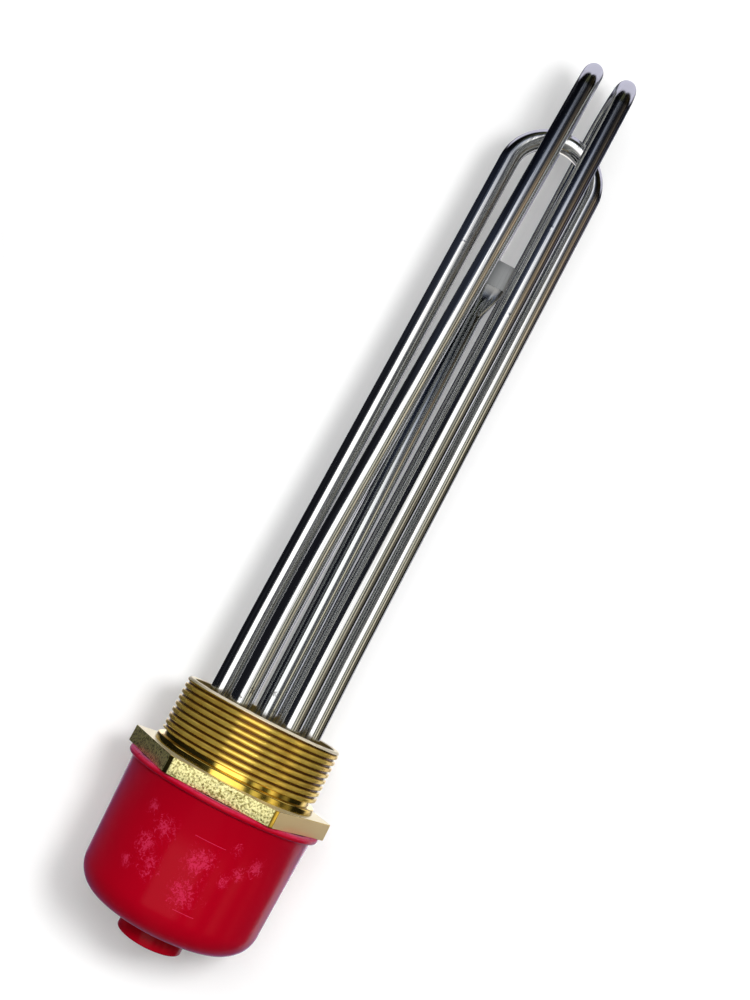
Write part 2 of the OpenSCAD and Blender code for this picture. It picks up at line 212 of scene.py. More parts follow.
def hand_over(obj, name, body, material, nodes=()):
    """Names a finished piece, gives it its material and lets it ride with its body."""
    clear_selection()
    obj.select_set(True)
    bpy.context.view_layer.objects.active = obj
    bpy.ops.object.transform_apply(location=True, rotation=True, scale=True)
    obj.name = obj.data.name = name
    if material is not None:
        obj.data.materials.clear()
        obj.data.materials.append(material)
    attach(obj, body)
    if nodes:
        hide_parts(*nodes)
    return obj


def dress(nodes, material):
    """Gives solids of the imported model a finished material."""
    for name in nodes:
        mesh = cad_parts[name].data
        mesh.materials.clear()
        mesh.materials.append(material)


# ---------------------------------------------------------------- materials


def near(tree, place, point, reach):
    """A soft spot in the object's own space: 1 at the point (in mm) and 0 at its reach."""
    gap = add_node(tree, "ShaderNodeVectorMath", {0: place}, operation="DISTANCE")
    gap.inputs[1].default_value = [c * MM for c in point]
    return add_node(tree, "ShaderNodeMapRange", {"Value": gap.outputs["Value"]},
                    From_Min=reach * MM, From_Max=reach * MM * 0.15).outputs[0]


def most(tree, masks):
    """The largest of several masks."""
    top = masks[0]
    for mask in masks[1:]:
        top = add_node(tree, "ShaderNodeMath", {0: top, 1: mask}, operation="MAXIMUM").outputs[0]
    return top


def drawn_stainless(name, base, rough, stains=(), nicks=(), pressed=0):
    """Drawn and polished stainless tube: a near mirror with handling haze, flux stains at its foot and nicks."""
    mat, tree, shader, place = new_material(name, base, 1.0, rough)
    # the polish runs along the tube: haze in streaks some 2 mm wide and 25 mm long
    stretch = add_node(tree, "ShaderNodeMapping", {"Vector": place}, Scale=(500.0, 500.0, 40.0))
    haze = add_node(tree, "ShaderNodeTexNoise", {"Vector": stretch.outputs[0]}, Scale=1.0, Detail=4.0)
    dull = add_node(tree, "ShaderNodeMapRange", {"Value": haze.outputs["Fac"]}, To_Min=rough * 0.7, To_Max=rough * 1.5)
    # die lines: faint light and dark lines down the tube, some 1 mm apart
    lines = add_node(tree, "ShaderNodeMapping", {"Vector": place}, Scale=(1100.0, 1100.0, 3.0))
    drawn = add_node(tree, "ShaderNodeTexNoise", {"Vector": lines.outputs[0]}, Scale=1.0, Detail=3.0, Roughness=0.7)
    line = add_node(tree, "ShaderNodeMapRange", {"Value": drawn.outputs["Fac"]}, From_Min=0.56, From_Max=0.38, To_Max=0.5)
    # they fade where the bends stretch the skin
    lean = add_node(tree, "ShaderNodeSeparateXYZ", {"Vector": add_node(tree, "ShaderNodeNewGeometry").outputs["Normal"]})
    steep = add_node(tree, "ShaderNodeMath", {0: lean.outputs["Z"]}, operation="ABSOLUTE")
    level = add_node(tree, "ShaderNodeMapRange", {"Value": steep.outputs[0]}, From_Min=0.35, From_Max=0.1)
    marks = [add_node(tree, "ShaderNodeMath", {0: line.outputs[0], 1: level.outputs[0]}, operation="MULTIPLY").outputs[0]]
    if pressed:
        # the pinched flat is pressed dull and darker, and the squeeze under it is darkened with painted shade in its
        # crease
        split = add_node(tree, "ShaderNodeSeparateXYZ", {"Vector": place})
        flat = add_node(tree, "ShaderNodeMapRange", {"Value": split.outputs["Z"]},
                        From_Min=(pressed - 0.6) * MM, From_Max=pressed * MM, To_Max=0.36)
        marks.append(flat.outputs[0])
        dull = add_node(tree, "ShaderNodeMath", {0: dull.outputs[0], 1: flat.outputs[0]}, operation="ADD")
        # painted shade in the crease under the flat, darkest just below it
        run = add_node(tree, "ShaderNodeMapRange", {"Value": split.outputs["Z"]},
                       From_Min=(pressed - 9) * MM, From_Max=(pressed - 3) * MM, To_Max=0.8)
        end = add_node(tree, "ShaderNodeMapRange", {"Value": split.outputs["Z"]},
                       From_Min=(pressed + 0.3) * MM, From_Max=(pressed - 0.3) * MM)
        marks.append(add_node(tree, "ShaderNodeMath", {0: run.outputs[0], 1: end.outputs[0]}, operation="MULTIPLY").outputs[0])
    tree.links.new(dull.outputs[0], shader.inputs["Roughness"])
    if stains:
        # dark flux stains where the braze ran, broken up at about a millimetre
        speck = add_node(tree, "ShaderNodeTexNoise", {"Vector": place}, Scale=620.0, Detail=6.0, Roughness=0.7)
        soil = add_node(tree, "ShaderNodeMath", {0: most(tree, [near(tree, place, p, r) for p, r in stains]),
                                                 1: speck.outputs["Fac"]}, operation="MULTIPLY")
        marks.append(add_node(tree, "ShaderNodeMapRange", {"Value": soil.outputs[0]},
                              From_Min=0.42, From_Max=0.56, To_Max=0.75).outputs[0])
    tint = add_node(tree, "ShaderNodeMixRGB", {"Fac": most(tree, marks)})
    tint.inputs["Color1"].default_value = linear(base)
    tint.inputs["Color2"].default_value = linear("4a4845")
    tree.links.new(tint.outputs["Color"], shader.inputs["Base Color"])
    if nicks:
        # small dents that break the reflections
        chip = add_node(tree, "ShaderNodeTexNoise", {"Vector": place}, Scale=900.0, Detail=2.0)
        dent = add_node(tree, "ShaderNodeMath", {0: most(tree, [near(tree, place, p, r) for p, r in nicks]),
                                                 1: chip.outputs["Fac"]}, operation="MULTIPLY")
        bump = add_node(tree, "ShaderNodeBump", {"Height": dent.outputs[0]}, Strength=0.2, Distance=0.0003)
        tree.links.new(bump.outputs[0], shader.inputs["Normal"])
    return mat


def turned_brass(name, base, metallic=0.7, rough=0.15, chatter_depth=0.12):
    """Machined brass: bright, with fine turning rings round the axis and a slight tarnish."""
    mat, tree, shader, place = new_material(name, base, metallic, rough)
    split = add_node(tree, "ShaderNodeSeparateXYZ", {"Vector": place})
    # feed marks 0.25 mm apart
    rings = add_node(tree, "ShaderNodeMath", {0: split.outputs["Z"]}, operation="MULTIPLY")
    rings.inputs[1].default_value = math.tau / (0.25 * MM)
    wave = add_node(tree, "ShaderNodeMath", {0: rings.outputs[0]}, operation="SINE")
    tarnish = add_node(tree, "ShaderNodeTexNoise", {"Vector": place}, Scale=160.0, Detail=5.0)
    tint = add_node(tree, "ShaderNodeValToRGB", {"Fac": tarnish.outputs["Fac"]})
    tint.color_ramp.elements[0].position, tint.color_ramp.elements[0].color = 0.25, linear("e6ba4c")
    tint.color_ramp.elements[1].position, tint.color_ramp.elements[1].color = 0.6, linear(base)
    # painted shade: the thread's grooves, near its root radius, are darkened to a dark brown where shade falls
    flat = add_node(tree, "ShaderNodeCombineXYZ", {"X": split.outputs["X"], "Y": split.outputs["Y"]})
    radius = add_node(tree, "ShaderNodeVectorMath", {0: flat.outputs[0]}, operation="LENGTH")
    groove = add_node(tree, "ShaderNodeMapRange", {"Value": radius.outputs["Value"]},
                      From_Min=28.95 * MM, From_Max=29.55 * MM)
    high = add_node(tree, "ShaderNodeMapRange", {"Value": split.outputs["Z"]}, From_Min=4.0 * MM, From_Max=4.3 * MM)
    under = add_node(tree, "ShaderNodeMath", {0: groove.outputs[0], 1: high.outputs[0]}, operation="SUBTRACT")
    unshaded = add_node(tree, "ShaderNodeMath", {0: under.outputs[0], }, operation="ADD", use_clamp=True)
    unshaded.inputs[1].default_value = 1.0
    # painted shade in the grooves: the groove mask mixes in the dark brown
    groove_shade = add_node(tree, "ShaderNodeMixRGB", {"Fac": unshaded.outputs[0], "Color2": tint.outputs["Color"]})
    groove_shade.inputs["Color1"].default_value = linear("6c4416")
    tree.links.new(groove_shade.outputs["Color"], shader.inputs["Base Color"])
    # chatter of the tool breaks the highlights at about a millimetre
    chatter = add_node(tree, "ShaderNodeTexNoise", {"Vector": place}, Scale=900.0, Detail=3.0)
    rough_cut = add_node(tree, "ShaderNodeMath", {0: wave.outputs[0], 2: chatter.outputs["Fac"]}, operation="MULTIPLY_ADD")
    rough_cut.inputs[1].default_value = 0.15
    bump = add_node(tree, "ShaderNodeBump", {"Height": rough_cut.outputs[0]}, Strength=chatter_depth, Distance=0.0003)
    tree.links.new(bump.outputs[0], shader.inputs["Normal"])
    return mat


def forged_brass(name, base):
    """Hot forged brass skin: matt, grainy and pitted at about half a millimetre."""
    mat, tree, shader, place = new_material(name, base, 0.8, 0.33)
    grain = add_node(tree, "ShaderNodeTexNoise", {"Vector": place}, Scale=1300.0, Detail=6.0, Roughness=0.65)
    pits = add_node(tree, "ShaderNodeTexVoronoi", {"Vector": place}, Scale=900.0)
    deep = add_node(tree, "ShaderNodeMapRange", {"Value": pits.outputs["Distance"]}, From_Min=0.0, From_Max=0.35)
    both = add_node(tree, "ShaderNodeMath", {0: grain.outputs["Fac"], 1: deep.outputs[0]}, operation="ADD")
    bump = add_node(tree, "ShaderNodeBump", {"Height": both.outputs[0]}, Strength=0.4, Distance=0.0003)
    tree.links.new(bump.outputs[0], shader.inputs["Normal"])
    tint = add_node(tree, "ShaderNodeValToRGB", {"Fac": grain.outputs["Fac"]})
    tint.color_ramp.elements[0].position, tint.color_ramp.elements[0].color = 0.38, linear("857a38")
    tint.color_ramp.elements[1].position, tint.color_ramp.elements[1].color = 0.55, linear(base)
    tree.links.new(tint.outputs["Color"], shader.inputs["Base Color"])
    return mat


SCUFFS = [((20.3, -26.9, -19.9), 3.4), ((16.1, -29.4, -23.5), 2.6), ((13.0, -30.8, -26.6), 2.8), ((2.1, -33.4, -25.6), 5.0),
          ((3.8, -32.7, -35.0), 6.0), ((4.8, -33.1, -23.5), 4.0), ((-15.0, -29.8, -27.6), 4.5), ((-11.0, -31.2, -32.8), 4.5),
          ((-11.5, -31.8, -21.0), 4.5), ((-18.1, -27.6, -35.4), 2.4), ((-17.8, -28.7, -16.8), 2.6), ((12.4, -31.5, -16.8), 2.2)]


def moulded_red(name, base, scuffed):
    """Glossy moulded plastic: deep crimson, with rubbed paler places and two long scratches on its front wall."""
    # handling haze shows as a bluish sheen where the wall turns away
    mat, tree, shader, place = new_material(name, base, 0.0, 0.16, Specular_IOR_Level=0.12, Sheen_Weight=0.3,
                                            Sheen_Roughness=0.3, Sheen_Tint=linear("b49cf0"))
    # fine flecks, thick in the rubbed places and absent elsewhere
    speck = add_node(tree, "ShaderNodeTexNoise", {"Vector": place}, Scale=850.0, Detail=8.0, Roughness=0.75, Distortion=1.2)
    cloud = add_node(tree, "ShaderNodeTexNoise", {"Vector": place}, Scale=260.0, Detail=6.0, Roughness=0.6, Distortion=1.0)
    rub = add_node(tree, "ShaderNodeMath", {0: most(tree, [near(tree, place, p, r * 1.65) for p, r in SCUFFS]),
                                            1: cloud.outputs["Fac"]}, operation="MULTIPLY")
    soft = add_node(tree, "ShaderNodeMath", {0: rub.outputs[0], 2: speck.outputs["Fac"]}, operation="MULTIPLY_ADD")
    soft.inputs[1].default_value = 0.5
    worn = add_node(tree, "ShaderNodeMapRange", {"Value": soft.outputs[0]}, From_Min=0.67, From_Max=0.79, To_Max=0.55)
    # a scratch is the thin band round a height, between two ends
    split = add_node(tree, "ShaderNodeSeparateXYZ", {"Vector": place})
    wavy = add_node(tree, "ShaderNodeTexNoise", {"Vector": place}, Scale=60.0)
    scratches = []
    for height, middle, length in ((-17.9, 3.5, 5.4), (-40.8, 6.0, 3.6)):
        lift = add_node(tree, "ShaderNodeMath", {0: wavy.outputs["Fac"], 2: split.outputs["Z"]}, operation="MULTIPLY_ADD")
        lift.inputs[1].default_value = 0.0004
        line = add_node(tree, "ShaderNodeMath", {0: lift.outputs[0]}, operation="COMPARE")
        line.inputs[1].default_value, line.inputs[2].default_value = height * MM + 0.0002, 0.00009
        span = add_node(tree, "ShaderNodeMath", {0: split.outputs["X"]}, operation="COMPARE")
        span.inputs[1].default_value, span.inputs[2].default_value = middle * MM, length * MM
        scratches.append(add_node(tree, "ShaderNodeMath", {0: line.outputs[0], 1: span.outputs[0]},
                                  operation="MULTIPLY").outputs[0])
    front = add_node(tree, "ShaderNodeMath", {0: split.outputs["Y"]}, operation="LESS_THAN")
    front.inputs[1].default_value = 0.0
    cut = add_node(tree, "ShaderNodeMath", {0: most(tree, scratches), 1: front.outputs[0]}, operation="MULTIPLY")
    marks = add_node(tree, "ShaderNodeMath", {0: cut.outputs[0]}, operation="MULTIPLY")
    marks.inputs[1].default_value = 0.7
    # the upper edge of the lip is rubbed all round
    edge = add_node(tree, "ShaderNodeMapRange", {"Value": split.outputs["Z"]}, From_Min=-6.9 * MM, From_Max=-6.3 * MM)
    rubbed = add_node(tree, "ShaderNodeMath", {0: edge.outputs[0], 1: cloud.outputs["Fac"]}, operation="MULTIPLY")
    both = most(tree, [worn.outputs[0], marks.outputs[0], rubbed.outputs[0]])
    tint = add_node(tree, "ShaderNodeMixRGB", {"Fac": both})
    tint.inputs["Color1"].default_value = linear(base)
    tint.inputs["Color2"].default_value = linear(scuffed)
    tree.links.new(tint.outputs["Color"], shader.inputs["Base Color"])
    dull = add_node(tree, "ShaderNodeMapRange", {"Value": both}, To_Min=0.16, To_Max=0.45)
    tree.links.new(dull.outputs[0], shader.inputs["Roughness"])
    return mat


def plain_with_grain(name, base, metallic, roughness, grain_mm, strength):
    """A quiet material for hidden pieces, with its own fine grain."""
    mat, tree, shader, place = new_material(name, base, metallic, roughness)
    grain = add_node(tree, "ShaderNodeTexNoise", {"Vector": place}, Scale=1 / (grain_mm * MM), Detail=4.0)
    bump = add_node(tree, "ShaderNodeBump", {"Height": grain.outputs["Fac"]}, Strength=strength, Distance=0.0001)
    tree.links.new(bump.outputs[0], shader.inputs["Normal"])
    rough = add_node(tree, "ShaderNodeMapRange", {"Value": grain.outputs["Fac"]},
                     To_Min=roughness * 0.8, To_Max=roughness * 1.2)
    tree.links.new(rough.outputs[0], shader.inputs["Roughness"])
    return mat


# ---------------------------------------------------------------- stage


class HEATER_OT_stage(bpy.types.Operator):
    """Sets up the white table behind the heater, the lamps and the camera"""

    bl_idname = "heater.stage"
    bl_label = "Stage"

    def execute(self, context):
        cfg = context.scene.heater_stage
        clear_selection()
        bpy.ops.mesh.primitive_plane_add(size=6, location=(0, cfg.table_distance, 0), rotation=(math.pi / 2, 0, 0))
        table = context.object
        table.name = table.data.name = "white_table"
        bpy.ops.object.transform_apply(location=True, rotation=True, scale=True)
        mat = bpy.data.materials.new("white_table")
        mat.use_nodes = True
        tree = mat.node_tree
        tree.nodes.remove(tree.nodes["Principled BSDF"])
        lit = add_node(tree, "ShaderNodeBsdfDiffuse", Color=(0.8, 0.8, 0.8, 1))
        # lit from the front, and wholly white farther out, where the lamp no longer reaches
        away = add_node(tree, "ShaderNodeVectorMath", {0: add_node(tree, "ShaderNodeTexCoord").outputs["Object"]},
                        operation="DISTANCE")
        away.inputs[1].default_value = (0, cfg.table_distance, 120 * MM)
        fade = add_node(tree, "ShaderNodeMapRange", {"Value": away.outputs["Value"]},
                        From_Min=0.19, From_Max=0.42, To_Min=0.225, To_Max=1.1)
        glow = add_node(tree, "ShaderNodeEmission", {"Strength": fade.outputs[0]}, Color=(1, 1, 1, 1))
        half = add_node(tree, "ShaderNodeAddShader", {0: lit.outputs[0], 1: glow.outputs[0]})
        gone = add_node(tree, "ShaderNodeBsdfTransparent")
        path = add_node(tree, "ShaderNodeLightPath")
        seen = add_node(tree, "ShaderNodeMixShader",
                        {0: path.outputs["Is Camera Ray"], 1: lit.outputs[0], 2: half.outputs[0]})
        behind = add_node(tree, "ShaderNodeNewGeometry").outputs["Backfacing"]
        side = add_node(tree, "ShaderNodeMixShader", {0: behind, 1: seen.outputs[0], 2: gone.outputs[0]})
        tree.links.new(side.outputs[0], tree.nodes["Material Output"].inputs["Surface"])
        table.data.materials.append(mat)
        table.visible_glossy = False
        self.world(context)
        self.lamps(cfg)
        self.camera(context)
        return {"FINISHED"}

    def world(self, context):
        """White to the camera; to metal, a room that is dark to the left of the lens and pale elsewhere."""
        world = bpy.data.worlds.new("room")
        context.scene.world = world
        world.use_nodes = True
        tree = world.node_tree
        back = tree.nodes["Background"]
        sky = add_node(tree, "ShaderNodeTexCoord")
        way = add_node(tree, "ShaderNodeSeparateXYZ", {"Vector": sky.outputs["Generated"]})
        front = add_node(tree, "ShaderNodeMath", {0: way.outputs["Y"]}, operation="MULTIPLY")
        front.inputs[1].default_value = -1.0
        round_ = add_node(tree, "ShaderNodeMath", {0: way.outputs["X"], 1: front.outputs[0]}, operation="ARCTAN2")
        share = add_node(tree, "ShaderNodeMapRange", {"Value": round_.outputs[0]},
                         From_Min=-math.pi, From_Max=math.pi)
        rise = add_node(tree, "ShaderNodeMapRange", {"Value": way.outputs["Z"]}, From_Min=-1.0, From_Max=1.0)
        # round the horizon, from behind past the left, the window in front and the right to behind again
        near_ring = self.ramp(tree, share.outputs[0], [
            (0.0, "e8e6e0"), (0.03, "d8d6d4"), (0.05, "6c6a76"), (0.07, "4c4a56"), (0.08, "17181c"), (0.19, "0e0f13"),
            (0.37, "17181d"), (0.417, "2c2e33"), (0.43, "ffffff"), (0.535, "ffffff"), (0.547, "c4c6c4"), (0.562, "3e403f"),
            (0.576, "30322f"), (0.592, "b8b8ac"), (0.612, "9e9a88"), (0.626, "262725"), (0.65, "454642"), (0.67, "ccc6b2"),
            (0.69, "948a76"), (0.71, "1f1f1b"), (0.745, "6b675c"), (0.77, "141412"), (0.85, "1b1b18"), (0.866, "9c9ca4"),
            (0.878, "d0d0d8"), (0.905, "c0c0ca"), (0.93, "50505a"), (0.96, "d8d6d4"), (1.0, "e8e6e0")])
        high_ring = self.ramp(tree, share.outputs[0], [
            (0.0, "e8e6e0"), (0.03, "d8d6d4"), (0.05, "6c6a76"), (0.07, "4c4a56"), (0.08, "1e1f26"), (0.19, "1c1f28"),
            (0.36, "282c37"), (0.425, "565c6a"), (0.435, "ffffff"), (0.495, "ffffff"), (0.52, "7c7f86"), (0.55, "4c4d50"),
            (0.58, "36363a"), (0.60, "5c5650"), (0.625, "84745e"), (0.645, "5a4836"), (0.67, "a2907a"), (0.70, "74634c"),
            (0.73, "1e1610"), (0.77, "6c6870"), (0.79, "161412"), (0.85, "241f1c"), (0.866, "a09ca6"), (0.878, "cfcbd4"),
            (0.905, "c0c0ca"), (0.93, "50505a"), (0.96, "d8d6d4"), (1.0, "e8e6e0")])
        up = add_node(tree, "ShaderNodeMapRange", {"Value": rise.outputs[0]}, From_Min=0.655, From_Max=0.72)
        ring = add_node(tree, "ShaderNodeMixRGB", {"Fac": up.outputs[0], "Color1": near_ring, "Color2": high_ring})
        # how much of that is left at each height
        keep = self.ramp(tree, rise.outputs[0], [
            (0.0, "404040"), (0.25, "606060"), (0.42, "ffffff"), (0.70, "ffffff"), (0.73, "dcdfe6"), (0.75, "a4aab8"),
            (0.765, "687080"), (0.785, "40444e"), (0.81, "222426"), (0.86, "3a3c2c"), (1.0, "2c2e20")])
        low = add_node(tree, "ShaderNodeMixRGB", {"Color1": ring.outputs["Color"], "Color2": keep}, blend_type="MULTIPLY", Fac=1.0)
        # the pale ceiling runs from over the camera back behind the heater
        tilt = add_node(tree, "ShaderNodeVectorMath", {0: sky.outputs["Generated"]}, operation="DOT_PRODUCT")
        tilt.inputs[1].default_value = (0, 0.883, 0.469)
        wide = add_node(tree, "ShaderNodeMath", {0: way.outputs["X"]}, operation="ABSOLUTE")
        side = add_node(tree, "ShaderNodeMath", {0: wide.outputs[0], 2: tilt.outputs["Value"]}, operation="MULTIPLY_ADD")
        side.inputs[1].default_value = -0.5
        over = add_node(tree, "ShaderNodeMapRange", {"Value": side.outputs[0]}, From_Min=0.02, From_Max=0.09)
        high = add_node(tree, "ShaderNodeMapRange", {"Value": way.outputs["Z"]}, From_Min=0.6, From_Max=0.68)
        part = add_node(tree, "ShaderNodeMath", {0: over.outputs[0], 1: high.outputs[0]}, operation="MULTIPLY")
        top = add_node(tree, "ShaderNodeMixRGB", {"Fac": part.outputs[0], "Color1": low.outputs["Color"]})
        top.inputs["Color2"].default_value = linear("a2a2b2")
        # what one tube shows of the room in another is blended, as from a larger and softer room
        blended = self.ramp(tree, share.outputs[0], [
            (0.0, "8c8e98"), (0.09, "74767e"), (0.15, "44484e"), (0.30, "34383e"), (0.41, "585c62"), (0.46, "e4e8ea"),
            (0.53, "e0e4e4"), (0.57, "5c605e"), (0.61, "4c504e"), (0.65, "a8aaa2"), (0.70, "8c8c84"), (0.75, "3c3c38"),
            (0.82, "484846"), (0.89, "74767e"), (1.0, "8c8e98")])
        path = add_node(tree, "ShaderNodeLightPath")
        again = add_node(tree, "ShaderNodeMath", {0: path.outputs["Glossy Depth"]}, operation="GREATER_THAN")
        again.inputs[1].default_value = 1.5
        far = add_node(tree, "ShaderNodeMixRGB",
                       {"Fac": again.outputs[0], "Color1": top.outputs["Color"], "Color2": blended})
        metal = add_node(tree, "ShaderNodeMixRGB", {"Fac": path.outputs["Is Glossy Ray"], "Color2": far.outputs["Color"]})
        metal.inputs["Color1"].default_value = linear("606060")
        tree.links.new(metal.outputs["Color"], back.inputs["Color"])
        back.inputs["Strength"].default_value = 1.7
        plain = add_node(tree, "ShaderNodeBackground", Color=(1, 1, 1, 1), Strength=1.0)
        seen = add_node(tree, "ShaderNodeMixShader",
                        {0: path.outputs["Is Camera Ray"], 1: back.outputs[0], 2: plain.outputs[0]})
        tree.links.new(seen.outputs[0], tree.nodes["World Output"].inputs["Surface"])

    def ramp(self, tree, source, stops):
        """A colour ramp from positions and sRGB colours."""
        node = add_node(tree, "ShaderNodeValToRGB", {"Fac": source})
        while len(node.color_ramp.elements) > 1:
            node.color_ramp.elements.remove(node.color_ramp.elements[0])
        node.color_ramp.elements[0].position = stops[0][0]
        node.color_ramp.elements[0].color = linear(stops[0][1])
        for at, tone in stops[1:]:
            node.color_ramp.elements.new(at).color = linear(tone)
        return node.outputs["Color"]

    def lamps(self, cfg):
        """A round lamp beside the lens that throws the soft shadow to the left, and a weak window over it."""
        for name, kind, power, size, place in (("window", "AREA", cfg.lamp_power, 0.9, (-0.2, -1.7, 0.5)),
                                               ("key", "POINT", cfg.key_power, 0.042, (0.080, -0.358, 0.106)),
                                               ("fill", "POINT", cfg.fill_power, 0.08, (-0.015, -0.40, 0.11))):
            lamp = bpy.data.lights.new(name, kind)
            lamp.energy = power
            if kind == "AREA":
                lamp.shape, lamp.size = "DISK", size
            else:
                # an even beam over the whole table, as from a diffuser
                lamp.shadow_soft_size = size
                lamp.use_nodes = True
                even = add_node(lamp.node_tree, "ShaderNodeLightFalloff", Strength=1.0)
                lamp.node_tree.links.new(even.outputs["Constant"], lamp.node_tree.nodes["Emission"].inputs["Strength"])
            obj = bpy.data.objects.new(name, lamp)
            bpy.context.scene.collection.objects.link(obj)
            aim = Vector((0, 0, 0.12)) - Vector(place)
            obj.matrix_world = Matrix.Translation(place) @ aim.to_track_quat("-Z", "Y").to_matrix().to_4x4()
            obj.visible_glossy = False

    def camera(self, context):
        """The photograph's camera: 0.38 m in front, looking up the tubes and rolled by 27.4 degrees."""
        data = bpy.data.cameras.new("photo_camera")
        cam = bpy.data.objects.new("photo_camera", data)
        context.scene.collection.objects.link(cam)
        tilt, roll = math.radians(10.525), math.radians(27.386)
        look = Vector((0, math.cos(tilt), math.sin(tilt)))
        right, up = Vector((1, 0, 0)), Vector((0, -math.sin(tilt), math.cos(tilt)))
        cam_right = right * math.cos(roll) + up * math.sin(roll)
        cam_up = up * math.cos(roll) - right * math.sin(roll)
        turn = Matrix((cam_right, cam_up, -look)).transposed().to_4x4()
        cam.matrix_world = Matrix.Translation((0.845 * MM, -381.2 * MM, 41.3 * MM)) @ turn
        data.sensor_width, data.lens = 36.0, 36.0 * 1052.8 / 1000
        data.shift_x, data.shift_y = -0.00617, -0.0049
        data.clip_start, data.clip_end = 0.01, 20
        context.scene.camera = cam
        context.scene.view_settings.view_transform = "Standard"


# ---------------------------------------------------------------- elements


class HEATER_OT_elements(bpy.types.Operator):
    """Bends the three hairpin element sheaths from round tube"""

    bl_idname = "heater.elements"
    bl_label = "Elements"

    def execute(self, context):
        cfg = context.scene.heater_elements
        steel = drawn_stainless(
            "polished_stainless", cfg.steel, 0.12,
            stains=[((-18, -2, 26), 4), ((-7, -18, 29), 6), ((-10, -19, 25), 4), ((4, 15, 30), 5), ((16, -3, 26), 3)],
            nicks=[((11.0, -19, 227.7), 1.1), ((11.8, -19, 189.5), 0.9), ((-15.7, -4, 213.7), 0.7), ((17.5, -4, 183.7), 0.7)])
        circle = 17.607 * MM
        side, half = circle * 0.5, circle * math.sin(math.radians(60))
        # middle in X, half span, yaw, lean, tip height, legs along X
        for name, mid, span, yaw, lean, tip, in_line in (
                ("a", -side - 0.53 * MM, half, 0.0, 2.0, 305.5 * MM, False),
                ("b", side - 0.2 * MM, half, 3.2, 0.96, 305.5 * MM, False),
                ("c", 0.0, circle, 0.0, 0.72, 275.7 * MM, True)):
            tube = self.hairpin(cfg, mid, span, math.radians(yaw), math.radians(lean), tip, in_line)
            smooth(tube, 60)
            hand_over(tube, f"tube_{name}", "plug", steel, [f"sheath_{name}"])
        dress([f"magnesia_{e}" for e in "abc"], plain_with_grain("pressed_magnesia", "e6e3da", 0, 0.8, 0.2, 0.4))
        dress([f"coil_{e}" for e in "abc"], plain_with_grain("resistance_wire", "6b6762", 1, 0.4, 0.3, 0.3))
        return {"FINISHED"}

    def hairpin(self, cfg, mid, span, yaw, lean, tip, in_line):
        """One tube, from its open end in the terminal chamber up, round the tip and down again."""
        r, core, end = cfg.diameter / 2, 3.4 * MM, 6 * MM
        z0, big = cfg.lean_start, cfg.lean_radius
        rise = (tip - r - span - z0 - big * math.sin(lean)) / math.cos(lean)
        a, b = (Vector((-span, 0, 0)), Vector((span, 0, 0))) if in_line else (Vector((0, -span, 0)), Vector((0, span, 0)))
        hub = Vector((big, 0, z0))
        slant = Vector((math.sin(lean), 0, math.cos(lean)))
        clear_selection()
        bpy.ops.mesh.primitive_circle_add(vertices=96, radius=core, location=(a.x, a.y, end + 8 * MM))
        tube = bpy.context.object
        bpy.ops.object.transform_apply(location=True, rotation=True, scale=True)
        edit_all()
        extrude(0, 0, -8 * MM)
        self.flare(a, end, r / core)
        extrude(0, 0, z0 - end)
        bpy.ops.mesh.spin(steps=8, angle=-lean, center=hub, axis=(0, 1, 0))
        extrude(*(slant * rise))
        crown = hub + Matrix.Rotation(lean, 3, "Y") @ Vector((-big, 0, 0)) + slant * rise
        across = Vector((0, 1, 0)) if in_line else Matrix.Rotation(lean, 3, "Y") @ Vector((-1, 0, 0))
        bpy.ops.mesh.spin(steps=48, angle=-math.pi, center=crown, axis=across)
        extrude(*(slant * -rise))
        bpy.ops.mesh.spin(steps=8, angle=lean, center=hub, axis=(0, 1, 0))
        extrude(0, 0, end - z0)
        self.flare(b, end, core / r)
        extrude(0, 0, 8 * MM)
        bpy.ops.mesh.select_all(action="SELECT")
        bpy.ops.mesh.normals_make_consistent(inside=False)
        bpy.ops.object.mode_set(mode="OBJECT")
        tube.matrix_world = Matrix.Translation((mid, 0, 0)) @ Matrix.Rotation(yaw, 4, "Z")
        return tube

    def flare(self, foot, z, share):
        """Steps from the bore to the outside of the tube, or back, at its open end."""
        extrude(0, 0, 0)
        bpy.ops.transform.resize(value=(share, share, 1), center_override=(foot.x, foot.y, z))


# ---------------------------------------------------------------- pocket


